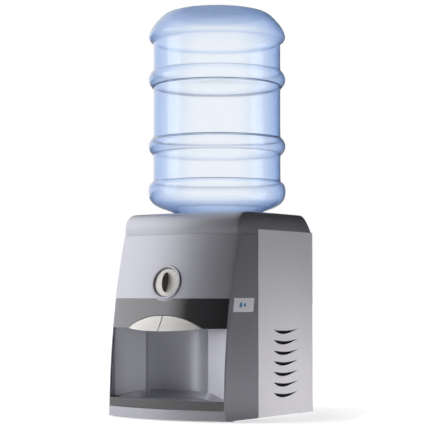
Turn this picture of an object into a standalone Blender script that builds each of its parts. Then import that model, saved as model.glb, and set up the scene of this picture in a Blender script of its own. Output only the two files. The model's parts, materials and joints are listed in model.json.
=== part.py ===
"""Countertop water dispenser with an inverted 20 litre bottle, in metres, +Z up and its front at -Y."""

from math import atan2, cos, pi, sin, sqrt

import bmesh
import bpy
from mathutils import Matrix, Vector

# Overall
cabinet_width = 0.283
overall_depth = 0.3353
pad_lead = 0.0018
panel_depth = 0.202
bottle_radius = 0.136
bottle_overhang = 0.004
foot_height = 0.0047
skirt_height = 0.002
seam_height = 0.349
panel_top = 0.3585
lid_top = 0.392
lid_side_inset = 0.011
lid_rear_inset = 0.026
lid_front_edge = 0.095
gap = 0.0003

# Front surface: it leans back with height and bulges forward in plan
front_bulge = 0.025
lean_depth = 0.0485
lean_power = 2.1
cheek_taper = 0.006
moulding_wall = 0.0025

# Levels on the front
lip_top = 0.021
tray_top = 0.038
band_bottom = 0.171
band_top = 0.227
opening_margin = 0.0035
band_wall = 0.003
arch_rise = 0.0248
arch_half = 0.087

# Control knob
knob_height = 0.2575
bezel_radius = 0.0335
bezel_bore = 0.0278
dial_gap = 0.0005
lobe_radius = 0.0362
grip_length = 0.038
grip_width = 0.009
grip_height = 0.0145

# Cup bay
bay_return_wall = 0.0013
crease_half = 0.073
bay_jamb_depth = 0.0125
bay_crease_depth = 0.0355
bay_depth = 0.0925
bay_ceiling = 0.176
bay_wall = 0.0025
ramp_rear = 0.0486
ramp_crease = 0.0545
ramp_foot = 0.0385
tray_half = 0.120
tray_setback = 0.0045
tray_depth = 0.068
tray_wall = 0.0025
tray_floor = 0.002
ledge_width = 0.0025
grille_thickness = 0.002
grille_drop = 0.0003
seat_wall = 0.0012
grille_bars = 10
grille_pitch = 0.010
grille_slot = 0.0026
fit_clearance = 0.0004

# Taps
tap_offset = 0.028
pad_gap = 0.0012
tap_height = 0.190
pivot_height = 0.208
pivot_setback = 0.0272
pin_radius = 0.002
plunger_radius = 0.0035
valve_radius = 0.010
valve_length = 0.030
nozzle_radius = 0.008
nozzle_setback = 0.0525
spring_turns = 2
spring_wire = 0.0007

# Sheet metal
sheet = 0.0012
flange = 0.012
louvre_count = 7
louvre_pitch = 0.0203
louvre_first = 0.0465
louvre_length = 0.0895

# Cooling
tank_radius = 0.066
tank_bottom = 0.195
tank_top = 0.335
tank_wall = 0.0012
coil_tube = 0.003
coil_turns = 3
insulation_wall = 0.016
compressor_radius = 0.058
compressor_x = 0.015
compressor_y = 0.080
compressor_top = 0.150
pipe_radius = 0.003

# Bottle
bottle_wall = 0.0016
bottle_top = 0.802
neck_radius = 0.0285
neck_end = 0.312
well_radius = 0.088
sleeve_clearance = 0.0005

half_width = cabinet_width / 2
dial_radius = bezel_bore - dial_gap
corner_half = half_width - cheek_taper
opening_half = corner_half - opening_margin
front_y0 = pad_lead - overall_depth / 2
corner_foot_y = front_y0 + front_bulge
panel_rear = overall_depth / 2 - bottle_overhang
panel_front = panel_rear - panel_depth
bottle_y = overall_depth / 2 - bottle_radius
back_face = panel_rear - sheet - gap


def corner_y(z):
    return corner_foot_y + lean_depth * (max(z, 0) / seam_height) ** lean_power


def front_y(x, z):
    return corner_y(z) - front_bulge * (1 - (x / corner_half) ** 2)


pivot_y = front_y(0, 0) + pivot_setback
nozzle_y = front_y(0, 0) + nozzle_setback
valve_front = pivot_y + 0.0115
bay_front = corner_foot_y

# Scene and collections
for old in list(bpy.data.objects):
    bpy.data.objects.remove(old)
parts = bpy.data.collections.new("water_dispenser")
cutters = bpy.data.collections.new("cutters")
cutters.hide_render = True
bpy.context.scene.collection.children.link(parts)
bpy.context.scene.collection.children.link(cutters)


def material(name, colour, roughness, metallic=0.0):
    made = bpy.data.materials.new(name)
    made.use_nodes = True
    shader = made.node_tree.nodes["Principled BSDF"]
    shader.inputs["Base Color"].default_value = (*colour, 1)
    shader.inputs["Roughness"].default_value = roughness
    shader.inputs["Metallic"].default_value = metallic
    made.diffuse_color = (*colour, 1)
    return made


silver = material("satin_silver_plastic", (0.42, 0.42, 0.46), 0.35, 0.3)
black = material("gloss_black_plastic", (0.02, 0.02, 0.024), 0.12)
ivory = material("ivory_plastic", (0.66, 0.65, 0.61), 0.4)
dark = material("dark_plastic", (0.06, 0.05, 0.05), 0.45)
bay_grey = material("bay_grey_plastic", (0.36, 0.36, 0.4), 0.4)
painted = material("painted_steel", (0.58, 0.58, 0.6), 0.4, 0.1)
zinc = material("zinc_steel", (0.5, 0.5, 0.5), 0.35, 1.0)
copper = material("copper", (0.7, 0.35, 0.22), 0.3, 1.0)
foam = material("white_foam", (0.85, 0.85, 0.82), 0.9)
rubber = material("black_rubber", (0.03, 0.03, 0.03), 0.8)
clear_blue = material("blue_polycarbonate", (0.45, 0.62, 0.88), 0.08)
food_plastic = material("natural_plastic", (0.8, 0.8, 0.78), 0.4)


def add(name, mesh, finish, helper=False):
    piece = bpy.data.objects.new(name, mesh)
    mesh.materials.append(finish)
    (cutters if helper else parts).objects.link(piece)
    if helper:
        piece.hide_render = True
        piece.display_type = "WIRE"
    return piece


def from_bmesh(name, shape, finish, helper=False):
    bmesh.ops.recalc_face_normals(shape, faces=shape.faces)
    mesh = bpy.data.meshes.new(name)
    shape.to_mesh(mesh)
    shape.free()
    return add(name, mesh, finish, helper)


def box(name, low, high, finish=zinc, helper=False):
    shape = bmesh.new()
    size = Vector(high) - Vector(low)
    centre = (Vector(high) + Vector(low)) / 2
    place = Matrix.Translation(centre) @ Matrix.Diagonal((*size, 1))
    bmesh.ops.create_cube(shape, size=1, matrix=place)
    return from_bmesh(name, shape, finish, helper)


def cylinder(name, radius, start, end, finish=zinc, helper=False, sides=20):
    start, end = Vector(start), Vector(end)
    turn = (end - start).to_track_quat("Z", "Y").to_matrix().to_4x4()
    place = Matrix.Translation((start + end) / 2) @ turn
    shape = bmesh.new()
    bmesh.ops.create_cone(shape, cap_ends=True, segments=sides, radius1=radius, radius2=radius,
                          depth=(end - start).length, matrix=place)
    return from_bmesh(name, shape, finish, helper)


def prism(name, outline, low, high, finish=zinc, helper=False):
    """An upright solid of the outline. low may be a height, or a function of y for a sloped floor."""
    shape = bmesh.new()
    floor = low if callable(low) else lambda y: low
    ring = [shape.verts.new((x, y, floor(y))) for x, y in outline]
    face = shape.faces.new(ring)
    raised = bmesh.ops.extrude_face_region(shape, geom=[face])
    for item in raised["geom"]:
        if isinstance(item, bmesh.types.BMVert):
            item.co.z = high
    return from_bmesh(name, shape, finish, helper)


def turned(name, profile, finish, centre=(0, 0, 0), steps=32, closed=True, wall=0.0, turn=None, helper=False):
    """A profile of (radius, height) turned round Z, outer side running down."""
    mesh = bpy.data.meshes.new(name)
    count = len(profile)
    edges = [(i, i + 1) for i in range(count - 1)]
    if closed:
        edges.append((count - 1, 0))
    mesh.from_pydata([(radius, 0, height) for radius, height in profile], edges, [])
    piece = add(name, mesh, finish, helper)
    piece.location = centre
    if turn is not None:
        piece.rotation_euler = turn
    screw = piece.modifiers.new("turn", "SCREW")
    screw.steps = screw.render_steps = steps
    screw.use_merge_vertices = True
    screw.merge_threshold = 0.00005
    screw.use_smooth_shade = True
    if wall:
        solid = piece.modifiers.new("wall", "SOLIDIFY")
        solid.thickness = wall
        solid.offset = -1
    return piece


def skin(name, point, columns, rows, thickness, finish, helper=False):
    """A grid laid over point(column, row), thickened to its rear, or forwards if thickness is negative."""
    shape = bmesh.new()
    bmesh.ops.create_grid(shape, x_segments=len(columns) - 1, y_segments=len(rows) - 1, size=0.5)
    for vert in shape.verts:
        column = columns[round((vert.co.x + 0.5) * (len(columns) - 1))]
        row = rows[round((vert.co.y + 0.5) * (len(rows) - 1))]
        vert.co = point(column, row)
    mesh = bpy.data.meshes.new(name)
    shape.to_mesh(mesh)
    shape.free()
    piece = add(name, mesh, finish, helper)
    solid = piece.modifiers.new("wall", "SOLIDIFY")
    solid.thickness = abs(thickness)
    solid.offset = -1 if thickness > 0 else 1
    return piece


def tube(name, points, radius, finish):
    curve = bpy.data.curves.new(name, "CURVE")
    curve.dimensions = "3D"
    curve.bevel_depth = radius
    curve.bevel_resolution = 2
    curve.use_fill_caps = True
    line = curve.splines.new("POLY")
    line.points.add(len(points) - 1)
    for spot, place in zip(line.points, points):
        spot.co = (*place, 1)
    return add(name, curve, finish)


def smooth_route(corners, per_leg=5):
    """Points of a smooth line through the corners."""
    ends = [corners[0], *corners, corners[-1]]
    route = []
    for leg in range(len(corners) - 1):
        a, b, c, d = (Vector(p) for p in ends[leg:leg + 4])
        for step in range(per_leg):
            t = step / per_leg
            route.append(0.5 * (2 * b + (c - a) * t + (2 * a - 5 * b + 4 * c - d) * t**2
                                + (3 * b - a - 3 * c + d) * t**3))
    route.append(Vector(corners[-1]))
    return route


def combine(piece, other, operation="DIFFERENCE"):
    other.hide_render = True
    other.display_type = "WIRE"
    if other.name in parts.objects:
        parts.objects.unlink(other)
        cutters.objects.link(other)
    change = piece.modifiers.new(other.name, "BOOLEAN")
    change.operation = operation
    change.object = other
    return piece


def span(low, high, steps):
    return [low + (high - low) * i / steps for i in range(steps + 1)]


def make_base():
    side = half_width - sheet - 2 * gap - 0.002
    rear = back_face - sheet - gap
    front = corner_foot_y + 0.0075
    slim = corner_half - 0.005
    outline = [(-side, rear), (side, rear), (side, panel_front), (slim, front), (-slim, front),
               (-side, panel_front)]
    pan = prism("base_pan", outline, foot_height + gap, 0.017, painted)
    wall = 0.0015
    inner = [(x - wall * (1 if x > 0 else -1),
              y - wall * (1 if y > 0.1 else -1 if y < panel_front - 0.01 else 0))
             for x, y in outline]
    combine(pan, prism("pan_inside", inner, foot_height + gap + wall, 0.03, helper=True))
    for name, x, y in (("foot_front_left", -1, front + 0.025), ("foot_front_right", 1, front + 0.025),
                       ("foot_rear_left", -1, rear - 0.025), ("foot_rear_right", 1, rear - 0.025)):
        profile = [(0, foot_height), (0.013, foot_height), (0.0115, 0), (0, 0)]
        turned(name, profile, rubber, (x * (slim - 0.012), y, 0), closed=False, steps=14)
    shelf_half = slim - 0.0005
    box("tray_shelf", (-shelf_half, front, 0.0173), (shelf_half, front + tray_depth + 0.006, lip_top - gap),
        food_plastic)


def make_side_panel(name, side):
    outer = half_width * side
    inner = (half_width - sheet) * side
    folded = (half_width - flange) * side
    outline = [(outer, panel_front + gap), (outer, panel_rear), (folded, panel_rear),
               (folded, panel_rear - sheet),
               (inner, panel_rear - sheet), (inner, panel_front + gap)]
    panel = prism(name, outline, skirt_height, panel_top - gap, painted)
    start = panel_front + 0.055
    for number in range(louvre_count):
        tip = louvre_first + louvre_pitch * number
        shape = bmesh.new()
        upper = [(start + louvre_length * t, tip - 0.0039 * sin(pi * t)) for t in span(0, 1, 5)]
        lower = [(start + louvre_length * t, tip - 0.0100 * sin(pi * t**0.75)) for t in span(0, 1, 5)[1:-1]]
        reach = 0.004
        ring = [shape.verts.new((inner - side * reach, y, z)) for y, z in upper + lower[::-1]]
        raised = bmesh.ops.extrude_face_region(shape, geom=[shape.faces.new(ring)])
        for item in raised["geom"]:
            if isinstance(item, bmesh.types.BMVert):
                item.co.x = outer + side * reach
        combine(panel, from_bmesh(f"{name}_louvre_{number}", shape, painted, helper=True))
    for level in screw_levels():
        hole = cylinder(f"{name}_hole_{round(level * 1000)}", screw_radius + gap,
                        (screw_x() * side, panel_rear - 0.01, level), (screw_x() * side, panel_rear + 0.01,
                                                                       level),
                        helper=True, sides=12)
        combine(panel, hole)


screw_radius = 0.0018


def screw_x():
    return half_width - flange / 2 - sheet / 2


def screw_levels():
    return (0.040, panel_top - 0.030)


def make_back():
    half = half_width - sheet - gap
    back = box("back_panel", (-half, back_face - sheet, 0.008), (half, back_face, panel_top - 0.003), painted)
    for column in (-1, 1):
        for row in range(8):
            z = 0.110 + row * 0.014
            slot = box(f"back_slot_{column}_{row}", (column * 0.055 - 0.030, back_face - 0.01, z),
                       (column * 0.055 + 0.030, back_face + 0.01, z + 0.005), helper=True)
            combine(back, slot)
    inlet_x, inlet_z = -half_width + 0.040, 0.062
    body = (0.014, 0.011)
    hole = box("inlet_hole", (inlet_x - body[0] - gap, back_face - 0.01, inlet_z - body[1] - gap),
               (inlet_x + body[0] + gap, back_face + 0.01, inlet_z + body[1] + gap), helper=True)
    combine(back, hole)
    inlet = box("power_inlet", (inlet_x - body[0], back_face - 0.022, inlet_z - body[1]),
                (inlet_x + body[0], back_face + 0.001, inlet_z + body[1]), dark)
    collar = box("inlet_collar", (inlet_x - 0.018, back_face + gap, inlet_z - 0.015),
                 (inlet_x + 0.018, back_face + 0.0024, inlet_z + 0.015), dark)
    combine(inlet, collar, "UNION")
    socket = box("inlet_socket", (inlet_x - 0.011, back_face - 0.014, inlet_z - 0.008),
                 (inlet_x + 0.011, back_face + 0.01, inlet_z + 0.008), dark)
    combine(inlet, socket)
    for side, label in ((-1, "left"), (1, "right")):
        for level, tier in zip(screw_levels(), ("lower", "upper")):
            x = screw_x() * side
            combine(back, cylinder(f"back_hole_{label}_{tier}", screw_radius + gap,
                                   (x, back_face - 0.01, level),
                                   (x, back_face + 0.005, level), helper=True, sides=12))
            profile = [(0, 0.0018), (0.0025, 0.0016), (0.0035, 0.0008), (0.0035, 0), (screw_radius, 0),
                       (screw_radius, -0.010), (0, -0.010)]
            turned(f"back_screw_{label}_{tier}", profile, zinc, (x, panel_rear + gap, level), steps=8,
                   closed=False,
                   turn=(-pi / 2, 0, 0))


def front_point(setback, spread=1.0):
    """A point of the front skin: column is x over corner_half, and past 1 it runs back along a cheek."""
    def point(column, z):
        side = 1 if column > 0 else -1
        if abs(column) <= 1:
            x = column * corner_half
            return (x * spread, front_y(x, z) + setback, z)
        along = (abs(column) - 1) / 0.5
        x = corner_half + cheek_taper * along
        return (side * x, corner_y(z) + (panel_front - corner_y(z)) * along + setback, z)
    return point


def make_fascia():
    middle = span(-0.88, 0.88, 14)
    columns = [-1.5, -1.25, -1.05, -0.975, *middle, 0.975, 1.05, 1.25, 1.5]
    levels = [skirt_height, 0.03, 0.09, 0.15, 0.2, 0.24, 0.28, 0.315, seam_height - gap]
    fascia = skin("front_fascia", front_point(0), columns, levels, moulding_wall, silver)
    window = box("front_window", (-opening_half, front_y0 - 0.02, lip_top),
                 (opening_half, corner_y(band_top) + 0.015, band_top), helper=True)
    centre = knob_centre()
    away = knob_axis() * 0.05
    lobe = cylinder("lobe", lobe_radius, centre - away, centre + away, helper=True, sides=40)
    combine(window, lobe)
    combine(fascia, window)
    combine(fascia, cylinder("knob_hole", bezel_bore + 0.0026 + fit_clearance, centre - away, centre + away,
                             helper=True, sides=32))
    band = skin("trim_band", front_point(0), span(-1, 1, 20), [band_bottom, 0.19, 0.21, band_top - gap],
                band_wall, black)
    arch = [(-arch_half, band_bottom - 0.01)]
    arch += [(x, band_bottom + arch_rise * (1 - (abs(x) / arch_half) ** 2.2)) for x in span(-arch_half,
                                                                                            arch_half, 16)]
    arch += [(arch_half, band_bottom - 0.01)]
    shape = bmesh.new()
    ring = [shape.verts.new((x, front_y0 - 0.02, z)) for x, z in arch]
    raised = bmesh.ops.extrude_face_region(shape, geom=[shape.faces.new(ring)])
    for item in raised["geom"]:
        if isinstance(item, bmesh.types.BMVert):
            item.co.y = 0
    combine(band, from_bmesh("band_arch", shape, black, helper=True))
    sides = box("band_ends", (-opening_half + gap, -1, 0), (opening_half - gap, 1, 1), helper=True)
    combine(band, sides, "INTERSECT")
    combine(band, cylinder("band_notch", lobe_radius + gap, centre - away, centre + away, helper=True,
                           sides=40))


def knob_axis():
    step = 0.001
    rise = (front_y(0, knob_height + step) - front_y(0, knob_height - step)) / (2 * step)
    return Vector((0, -1, rise)).normalized()


def knob_centre():
    return Vector((0, front_y(0, knob_height), knob_height))


def make_knob():
    turn = knob_axis().to_track_quat("Z", "Y").to_euler()
    centre = knob_centre()
    tube_wall = 0.0026
    bezel = [(bezel_radius, 0.0028), (bezel_radius, gap), (bezel_bore + tube_wall, gap),
             (bezel_bore + tube_wall, -0.011), (0.0045, -0.011), (0.0045, -0.009), (bezel_bore, -0.009),
             (bezel_bore, 0.0020), (bezel_bore + 0.0015, 0.0034), (bezel_radius - 0.0015, 0.0034)]
    turned("knob_bezel", bezel, silver, centre, 28, True, turn=turn)
    dial = [(0, -0.003), (dial_radius - 0.001, -0.003), (dial_radius, -0.004), (dial_radius, -0.0075),
            (0, -0.0075)]
    turned("thermostat_knob", dial, ivory, centre, 36, False, turn=turn)
    frame = Matrix.Translation(centre) @ turn.to_matrix().to_4x4()
    shape = bmesh.new()
    low = -0.003 + gap
    size = (grip_width, grip_length, grip_height)
    place = Matrix.Translation((0, 0, low + grip_height / 2)) @ Matrix.Diagonal((*size, 1))
    bmesh.ops.create_cube(shape, size=1, matrix=place)
    for vert in shape.verts:
        if vert.co.z > 0.005:
            vert.co.y *= 0.45
            vert.co.x *= 0.6
    bmesh.ops.subdivide_edges(shape,
                              edges=[e for e in shape.edges if abs((e.verts[0].co - e.verts[1].co).y) > 0.01],
                              cuts=4)
    for vert in shape.verts:
        if vert.co.z > 0.005:
            vert.co.z += 0.0005
    bow = from_bmesh("knob_grip", shape, dark)
    bow.matrix_world = frame
    back = [Vector((0, 0, -0.0075 - gap)), Vector((0, 0, -0.022))]
    cylinder("thermostat_shaft", 0.003, frame @ back[0], frame @ back[1], zinc, sides=16)
    shape = bmesh.new()
    place = Matrix.Translation((0, 0, -0.034)) @ Matrix.Diagonal((0.036, 0.030, 0.023, 1))
    bmesh.ops.create_cube(shape, size=1, matrix=place)
    from_bmesh("thermostat_body", shape, zinc).matrix_world = frame


def bell_y(x, reach):
    """The rear edge of the tray, which runs back as a bell curve."""
    return corner_foot_y + tray_setback + tray_depth * (1 + cos(pi * x / reach)) / 2


def tray_outline(shrink=0.0):
    half = opening_half - fit_clearance - 3 * shrink
    front = [(x, front_y(x, lip_top) + shrink) for x in span(-half, half, 14)]
    reach = tray_half - shrink
    return front + [(x, bell_y(x, reach) - shrink) for x in span(reach, -reach, 16)]


def tray_room(edge, clear):
    """The plan of the room that the tray slides in, open at the front."""
    reach = tray_half + clear
    start = corner_foot_y + tray_setback + clear
    rear = [(x, bell_y(x, reach) + clear) for x in span(reach, -reach, 16)]
    return [(-edge, front_y0 - 0.05), (edge, front_y0 - 0.05), (edge, start), *rear, (-edge, start)]


def bay_outline(grow=0.0):
    """The plan of the cup bay: straight returns, splayed jambs and a hollow rear wall."""
    jamb = bay_front + bay_jamb_depth
    crease = bay_front + bay_crease_depth
    depth = bay_front + bay_depth
    side = opening_half - gap - (0 if grow else bay_return_wall)
    hollow = crease_half + grow * 0.4
    rear = [(x, crease + grow + (depth - crease) * (1 - (x / hollow) ** 2) ** 0.75)
            for x in span(hollow, -hollow, 12)]
    start = bay_front - 0.0005 if grow else bay_front - 0.05
    return [(-side, start), (side, start), (side, jamb + grow * 0.6), *rear, (-side, jamb + grow * 0.6)]


def make_ramp():
    """The floor round the tray, which rises from the tray's edge to the walls of the bay."""
    jamb, crease, depth = (bay_front + d for d in (bay_jamb_depth, bay_crease_depth, bay_depth))
    side = opening_half - gap - bay_return_wall
    low, embed = tray_top - 0.003, 0.001
    shape = bmesh.new()
    sections = []
    for share in span(1.004, -1.004, 32):
        inner_x, outer_x = share * tray_half, share * side
        spread = abs(outer_x)
        if spread > crease_half:
            climb = (side - spread) / (side - crease_half)
            y, z = jamb + (crease - jamb) * climb, ramp_foot + (ramp_crease - ramp_foot) * climb
        else:
            turn = (spread / crease_half) ** 2
            y = crease + (depth - crease) * (1 - turn) ** 0.75
            z = ramp_rear + (ramp_crease - ramp_rear) * turn
        edge_y = bell_y(inner_x, tray_half)
        corners = ((inner_x, edge_y, tray_top - 0.001), (outer_x, y + embed, z), (outer_x, y + embed, low),
                   (inner_x, edge_y, low))
        sections.append([shape.verts.new(corner) for corner in corners])
    for one, two in zip(sections, sections[1:]):
        for i in range(4):
            shape.faces.new([one[i], one[i - 1], two[i - 1], two[i]])
    shape.faces.new(sections[0])
    shape.faces.new(sections[-1][::-1])
    bmesh.ops.recalc_face_normals(shape, faces=shape.faces)
    return from_bmesh("bay_ramp", shape, bay_grey)


def make_bay():
    liner = prism("alcove_liner", bay_outline(bay_wall), tray_top - 0.004, bay_ceiling + bay_wall, bay_grey)
    combine(liner, prism("bay_room", bay_outline(), tray_top - 0.001, bay_ceiling, helper=True))
    combine(liner, make_ramp(), "UNION")
    wide = opening_half + 0.02
    combine(liner, prism("tray_room", tray_room(wide, fit_clearance), 0.01, tray_top + 0.006, helper=True))
    combine(liner, skin("bay_front_plane", front_point(max(moulding_wall, band_wall) + gap), span(-1, 1, 14),
                        [0.0, 0.1, 0.15, 0.2], -0.05, bay_grey, helper=True))
    combine(liner, box("lever_room", (-arch_half - 0.004, front_y0 - 0.05, band_bottom - 0.001),
                       (arch_half + 0.004, nozzle_y - 0.017, 0.2), helper=True))
    for side in (-1, 1):
        x = side * tap_offset
        combine(liner, cylinder(f"nozzle_hole_{side}", nozzle_radius + fit_clearance, (x, nozzle_y, 0.16),
                                (x, nozzle_y, 0.19), helper=True, sides=24))
    bottom, seat = lip_top + gap, tray_top - grille_drop - grille_thickness
    tray = prism("drip_tray", tray_outline(), bottom, tray_top, black)
    combine(tray, prism("basin", tray_outline(tray_wall + ledge_width), bottom + tray_floor, 0.05,
                        helper=True))
    combine(tray, prism("seat", tray_outline(seat_wall), seat - gap, 0.05, helper=True))
    grille = prism("drip_grille", tray_outline(seat_wall + 0.0005), seat, tray_top - grille_drop, bay_grey)
    for number in range(-grille_bars, grille_bars + 1):
        x = number * grille_pitch
        back = bell_y(x, tray_half) - 0.010
        start = front_y(x, lip_top) + 0.010
        if back - start > 0.008:
            slot = box(f"grille_slot_{number}", (x - grille_slot / 2, start, 0.02),
                       (x + grille_slot / 2, back, 0.05), helper=True)
            combine(grille, slot)


def make_lever(label, side):
    """A press pad under the arch, with an arm and an eye for the pin."""
    def pad_point(column, row, layer):
        x = column * (arch_half - 0.002 - pad_gap) + pad_gap
        top = band_bottom + arch_rise * (1 - (abs(x) / arch_half) ** 2.2) - pad_gap
        drop = 0.0056 * (1 - (abs(x) / arch_half) ** 2)
        low = band_bottom + 0.0005 - drop
        z = low + (top - low) * row
        out = 0.012 * (1 - row) ** 1.3 * (1 - (abs(x) / arch_half) ** 4)
        return side * x, front_y(x, z) - out if layer == 0 else front_y(x, z) + 0.0026, z

    shape = bmesh.new()
    columns, rows = span(0, 0.985, 8), span(0, 1, 4)
    sheets = [[[shape.verts.new(pad_point(c, r, layer)) for r in rows] for c in columns] for layer in (0, 1)]
    for sheet_rows in sheets:
        for i in range(len(columns) - 1):
            for j in range(len(rows) - 1):
                shape.faces.new([sheet_rows[i][j], sheet_rows[i + 1][j], sheet_rows[i + 1][j + 1],
                                 sheet_rows[i][j + 1]])
    front, rear = sheets
    last_column, last_row = len(columns) - 1, len(rows) - 1
    rim = [(i, 0) for i in range(last_column)] + [(last_column, j) for j in range(last_row)]
    rim += [(i, last_row) for i in range(last_column, 0, -1)] + [(0, j) for j in range(last_row, 0, -1)]
    for (a, b), (c, d) in zip(rim, rim[1:] + rim[:1]):
        shape.faces.new([front[a][b], front[c][d], rear[c][d], rear[a][b]])
    for vert in shape.verts:
        vert.co.y -= pivot_y
        vert.co.z -= pivot_height
    lever = from_bmesh(f"tap_lever_{label}", shape, ivory)
    lever.location = (0, pivot_y, pivot_height)
    low_x, high_x = sorted((side * (tap_offset - 0.006), side * (tap_offset + 0.006)))
    rear_face = front_y(tap_offset, 0.175) + 0.0015
    arm = box(f"lever_arm_{label}", (low_x, rear_face, band_bottom + 0.003),
              (high_x, pivot_y + 0.002, pivot_height),
              ivory)
    web = box(f"lever_web_{label}", (low_x - 0.001, front_y0 - 0.02, pivot_height - 0.028 + 0.004),
              (high_x + 0.001, pivot_y - 0.004, pivot_height + 0.02), ivory)
    combine(arm, web)
    eye = cylinder(f"lever_eye_{label}", 0.005, (low_x - 0.0007, pivot_y, pivot_height),
                   (high_x + 0.0007, pivot_y, pivot_height), ivory)
    combine(lever, arm, "UNION")
    combine(lever, eye, "UNION")
    bore = cylinder(f"lever_bore_{label}", pin_radius + gap, (low_x - 0.01, pivot_y, pivot_height),
                    (high_x + 0.01, pivot_y, pivot_height), ivory)
    combine(lever, bore)


def make_taps():
    for label, side in (("left", -1), ("right", 1)):
        make_lever(label, side)
        x = side * tap_offset
        valve = cylinder(f"tap_valve_{label}", valve_radius, (x, valve_front, tap_height),
                         (x, valve_front + valve_length, tap_height), food_plastic, sides=24)
        nozzle = cylinder(f"nozzle_{label}", nozzle_radius, (x, nozzle_y, band_bottom - 0.003),
                          (x, nozzle_y, tap_height),
                          food_plastic, sides=24)
        combine(valve, nozzle, "UNION")
        combine(valve, cylinder(f"nozzle_bore_{label}", nozzle_radius - 0.002, (x, nozzle_y, 0.15),
                                (x, nozzle_y, tap_height - 0.004), helper=True, sides=16))
        combine(valve, cylinder(f"valve_bore_{label}", plunger_radius + gap,
                                (x, valve_front - 0.01, tap_height),
                                (x, valve_front + 0.0085, tap_height), helper=True, sides=16))
        plunger_start = pivot_y + 0.002 + gap
        cylinder(f"tap_plunger_{label}", plunger_radius, (x, plunger_start, tap_height),
                 (x, valve_front + 0.005, tap_height), ivory, sides=16)
        radius, wire = plunger_radius + 0.0022, spring_wire
        low, high = plunger_start + wire + 0.0005, valve_front - wire - gap
        per_turn = 8
        steps = spring_turns * per_turn
        spring = [(x + radius * cos(2 * pi * i / per_turn), low + (high - low) * i / steps,
                   tap_height + radius * sin(2 * pi * i / per_turn)) for i in range(steps + 1)]
        tube(f"tap_spring_{label}", spring, wire, zinc)
    pin_half = tap_offset + 0.020
    cylinder("lever_pin", pin_radius, (-pin_half, pivot_y, pivot_height), (pin_half, pivot_y, pivot_height),
             zinc,
             sides=16)
    lug = tap_offset + 0.016
    foot = bay_ceiling + bay_wall + gap
    top = pivot_height + 0.006
    bracket = box("tap_bracket", (-lug - 0.006, pivot_y + 0.002, top),
                  (lug + 0.006, nozzle_y + 0.020, top + 0.002))
    for side in (-1, 1):
        low_x, high_x = sorted((side * lug, side * (lug + 0.002)))
        combine(bracket, box(f"bracket_lug_{side}", (low_x, pivot_y - 0.003, pivot_height - 0.004),
                             (high_x, pivot_y + 0.008, top + 0.002)), "UNION")
        low_x, high_x = sorted((side * (lug + 0.0042), side * (lug + 0.006)))
        combine(bracket, box(f"bracket_leg_{side}", (low_x, pivot_y + 0.012, foot),
                             (high_x, nozzle_y + 0.020, top + 0.001)), "UNION")
    combine(bracket, cylinder("bracket_bore", pin_radius + gap, (-0.1, pivot_y, pivot_height),
                              (0.1, pivot_y, pivot_height), helper=True, sides=16))


# Share of the rise, then of the inset at the front, the sides and the rear, from the seam to the flat top
lid_levels = ((0, 0, 0, 0), (0.06, 0, 0, 0), (0.42, 0.13, 0.14, 0.40), (0.78, 0.36, 0.45, 0.76),
              (0.94, 0.62, 0.72, 0.93), (1, 1, 1, 1))


def lid_ring(level):
    """One level of the lid's outer side, from the seam up to the edge of the flat top."""
    rise, front_share, side_share, rear_share = lid_levels[level]
    side_in = lid_side_inset * side_share
    rear_in = lid_rear_inset * rear_share
    seam_front = corner_y(seam_height)
    front_step = (bottle_y - lid_front_edge - seam_front + front_bulge * 0.25) * front_share
    bulge = front_bulge * (1 - 0.75 * front_share)
    low_front = seam_height
    points = []

    def height(low):
        return low + (lid_top - low) * rise

    def edge_x(y):
        if y >= panel_front:
            return half_width - side_in
        along = (panel_front - y) / (panel_front - seam_front)
        return half_width - side_in - cheek_taper * along

    front_corner = seam_front + front_step
    corner_x = edge_x(front_corner)
    rear = panel_rear - rear_in
    for x in span(-0.96, 0.96, 12):
        points.append((x * corner_x, front_corner - bulge * (1 - x * x), height(low_front)))
    points.append((corner_x, front_corner + 0.006, height(low_front)))
    step_y = panel_front - 2 * gap
    points.append((edge_x(step_y), step_y - 2 * gap, height(low_front)))
    points.append((edge_x(step_y), step_y, height(panel_top)))
    for y in span(step_y + 0.02, rear - 0.006, 5):
        points.append((edge_x(y), y, height(panel_top)))
    for x in span(0.96, -0.96, 8):
        points.append((x * (half_width - side_in), rear, height(panel_top)))
    for y in reversed(span(step_y + 0.02, rear - 0.006, 5)):
        points.append((-edge_x(y), y, height(panel_top)))
    points.append((-edge_x(step_y), step_y, height(panel_top)))
    points.append((-edge_x(step_y), step_y - 2 * gap, height(low_front)))
    points.append((-corner_x, front_corner + 0.006, height(low_front)))
    return points


def make_lid():
    loops = [lid_ring(level) for level in range(len(lid_levels))]
    outer = loops[-1]
    for radius, z in ((well_radius + 0.0015, lid_top), (well_radius, lid_top - 0.0015),
                      (well_radius, 0.3725)):
        ring = []
        for spot in outer:
            angle = atan2(spot[1] - bottle_y, spot[0])
            ring.append((radius * cos(angle), bottle_y + radius * sin(angle), z))
        loops.append(ring)
    shape = bmesh.new()
    rings = [[shape.verts.new(place) for place in loop] for loop in loops]
    count = len(outer)
    for low, high in zip(rings, rings[1:]):
        for i in range(count):
            j = (i + 1) % count
            shape.faces.new([low[i], low[j], high[j], high[i]])
    mesh = bpy.data.meshes.new("top_cover")
    shape.normal_update()
    shape.to_mesh(mesh)
    shape.free()
    lid = add("top_cover", mesh, silver)
    solid = lid.modifiers.new("wall", "SOLIDIFY")
    solid.thickness = moulding_wall
    solid.offset = -1
    sleeve = neck_radius + sleeve_clearance
    wall = 0.0025
    rim = well_radius + 0.0075
    receiver = [(rim, 0.3715), (rim, 0.369), (well_radius - 0.002, 0.3665), (0.050, 0.3755),
                (sleeve + wall, 0.3665),
                (sleeve + wall, 0.300), (sleeve, 0.300), (sleeve, 0.3695), (0.036, 0.3726), (0.050, 0.3789),
                (well_radius - 0.0035, 0.3760), (well_radius - 0.003, 0.3715)]
    turned("bottle_receiver", receiver, food_plastic, (0, bottle_y, 0), 28)


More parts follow.
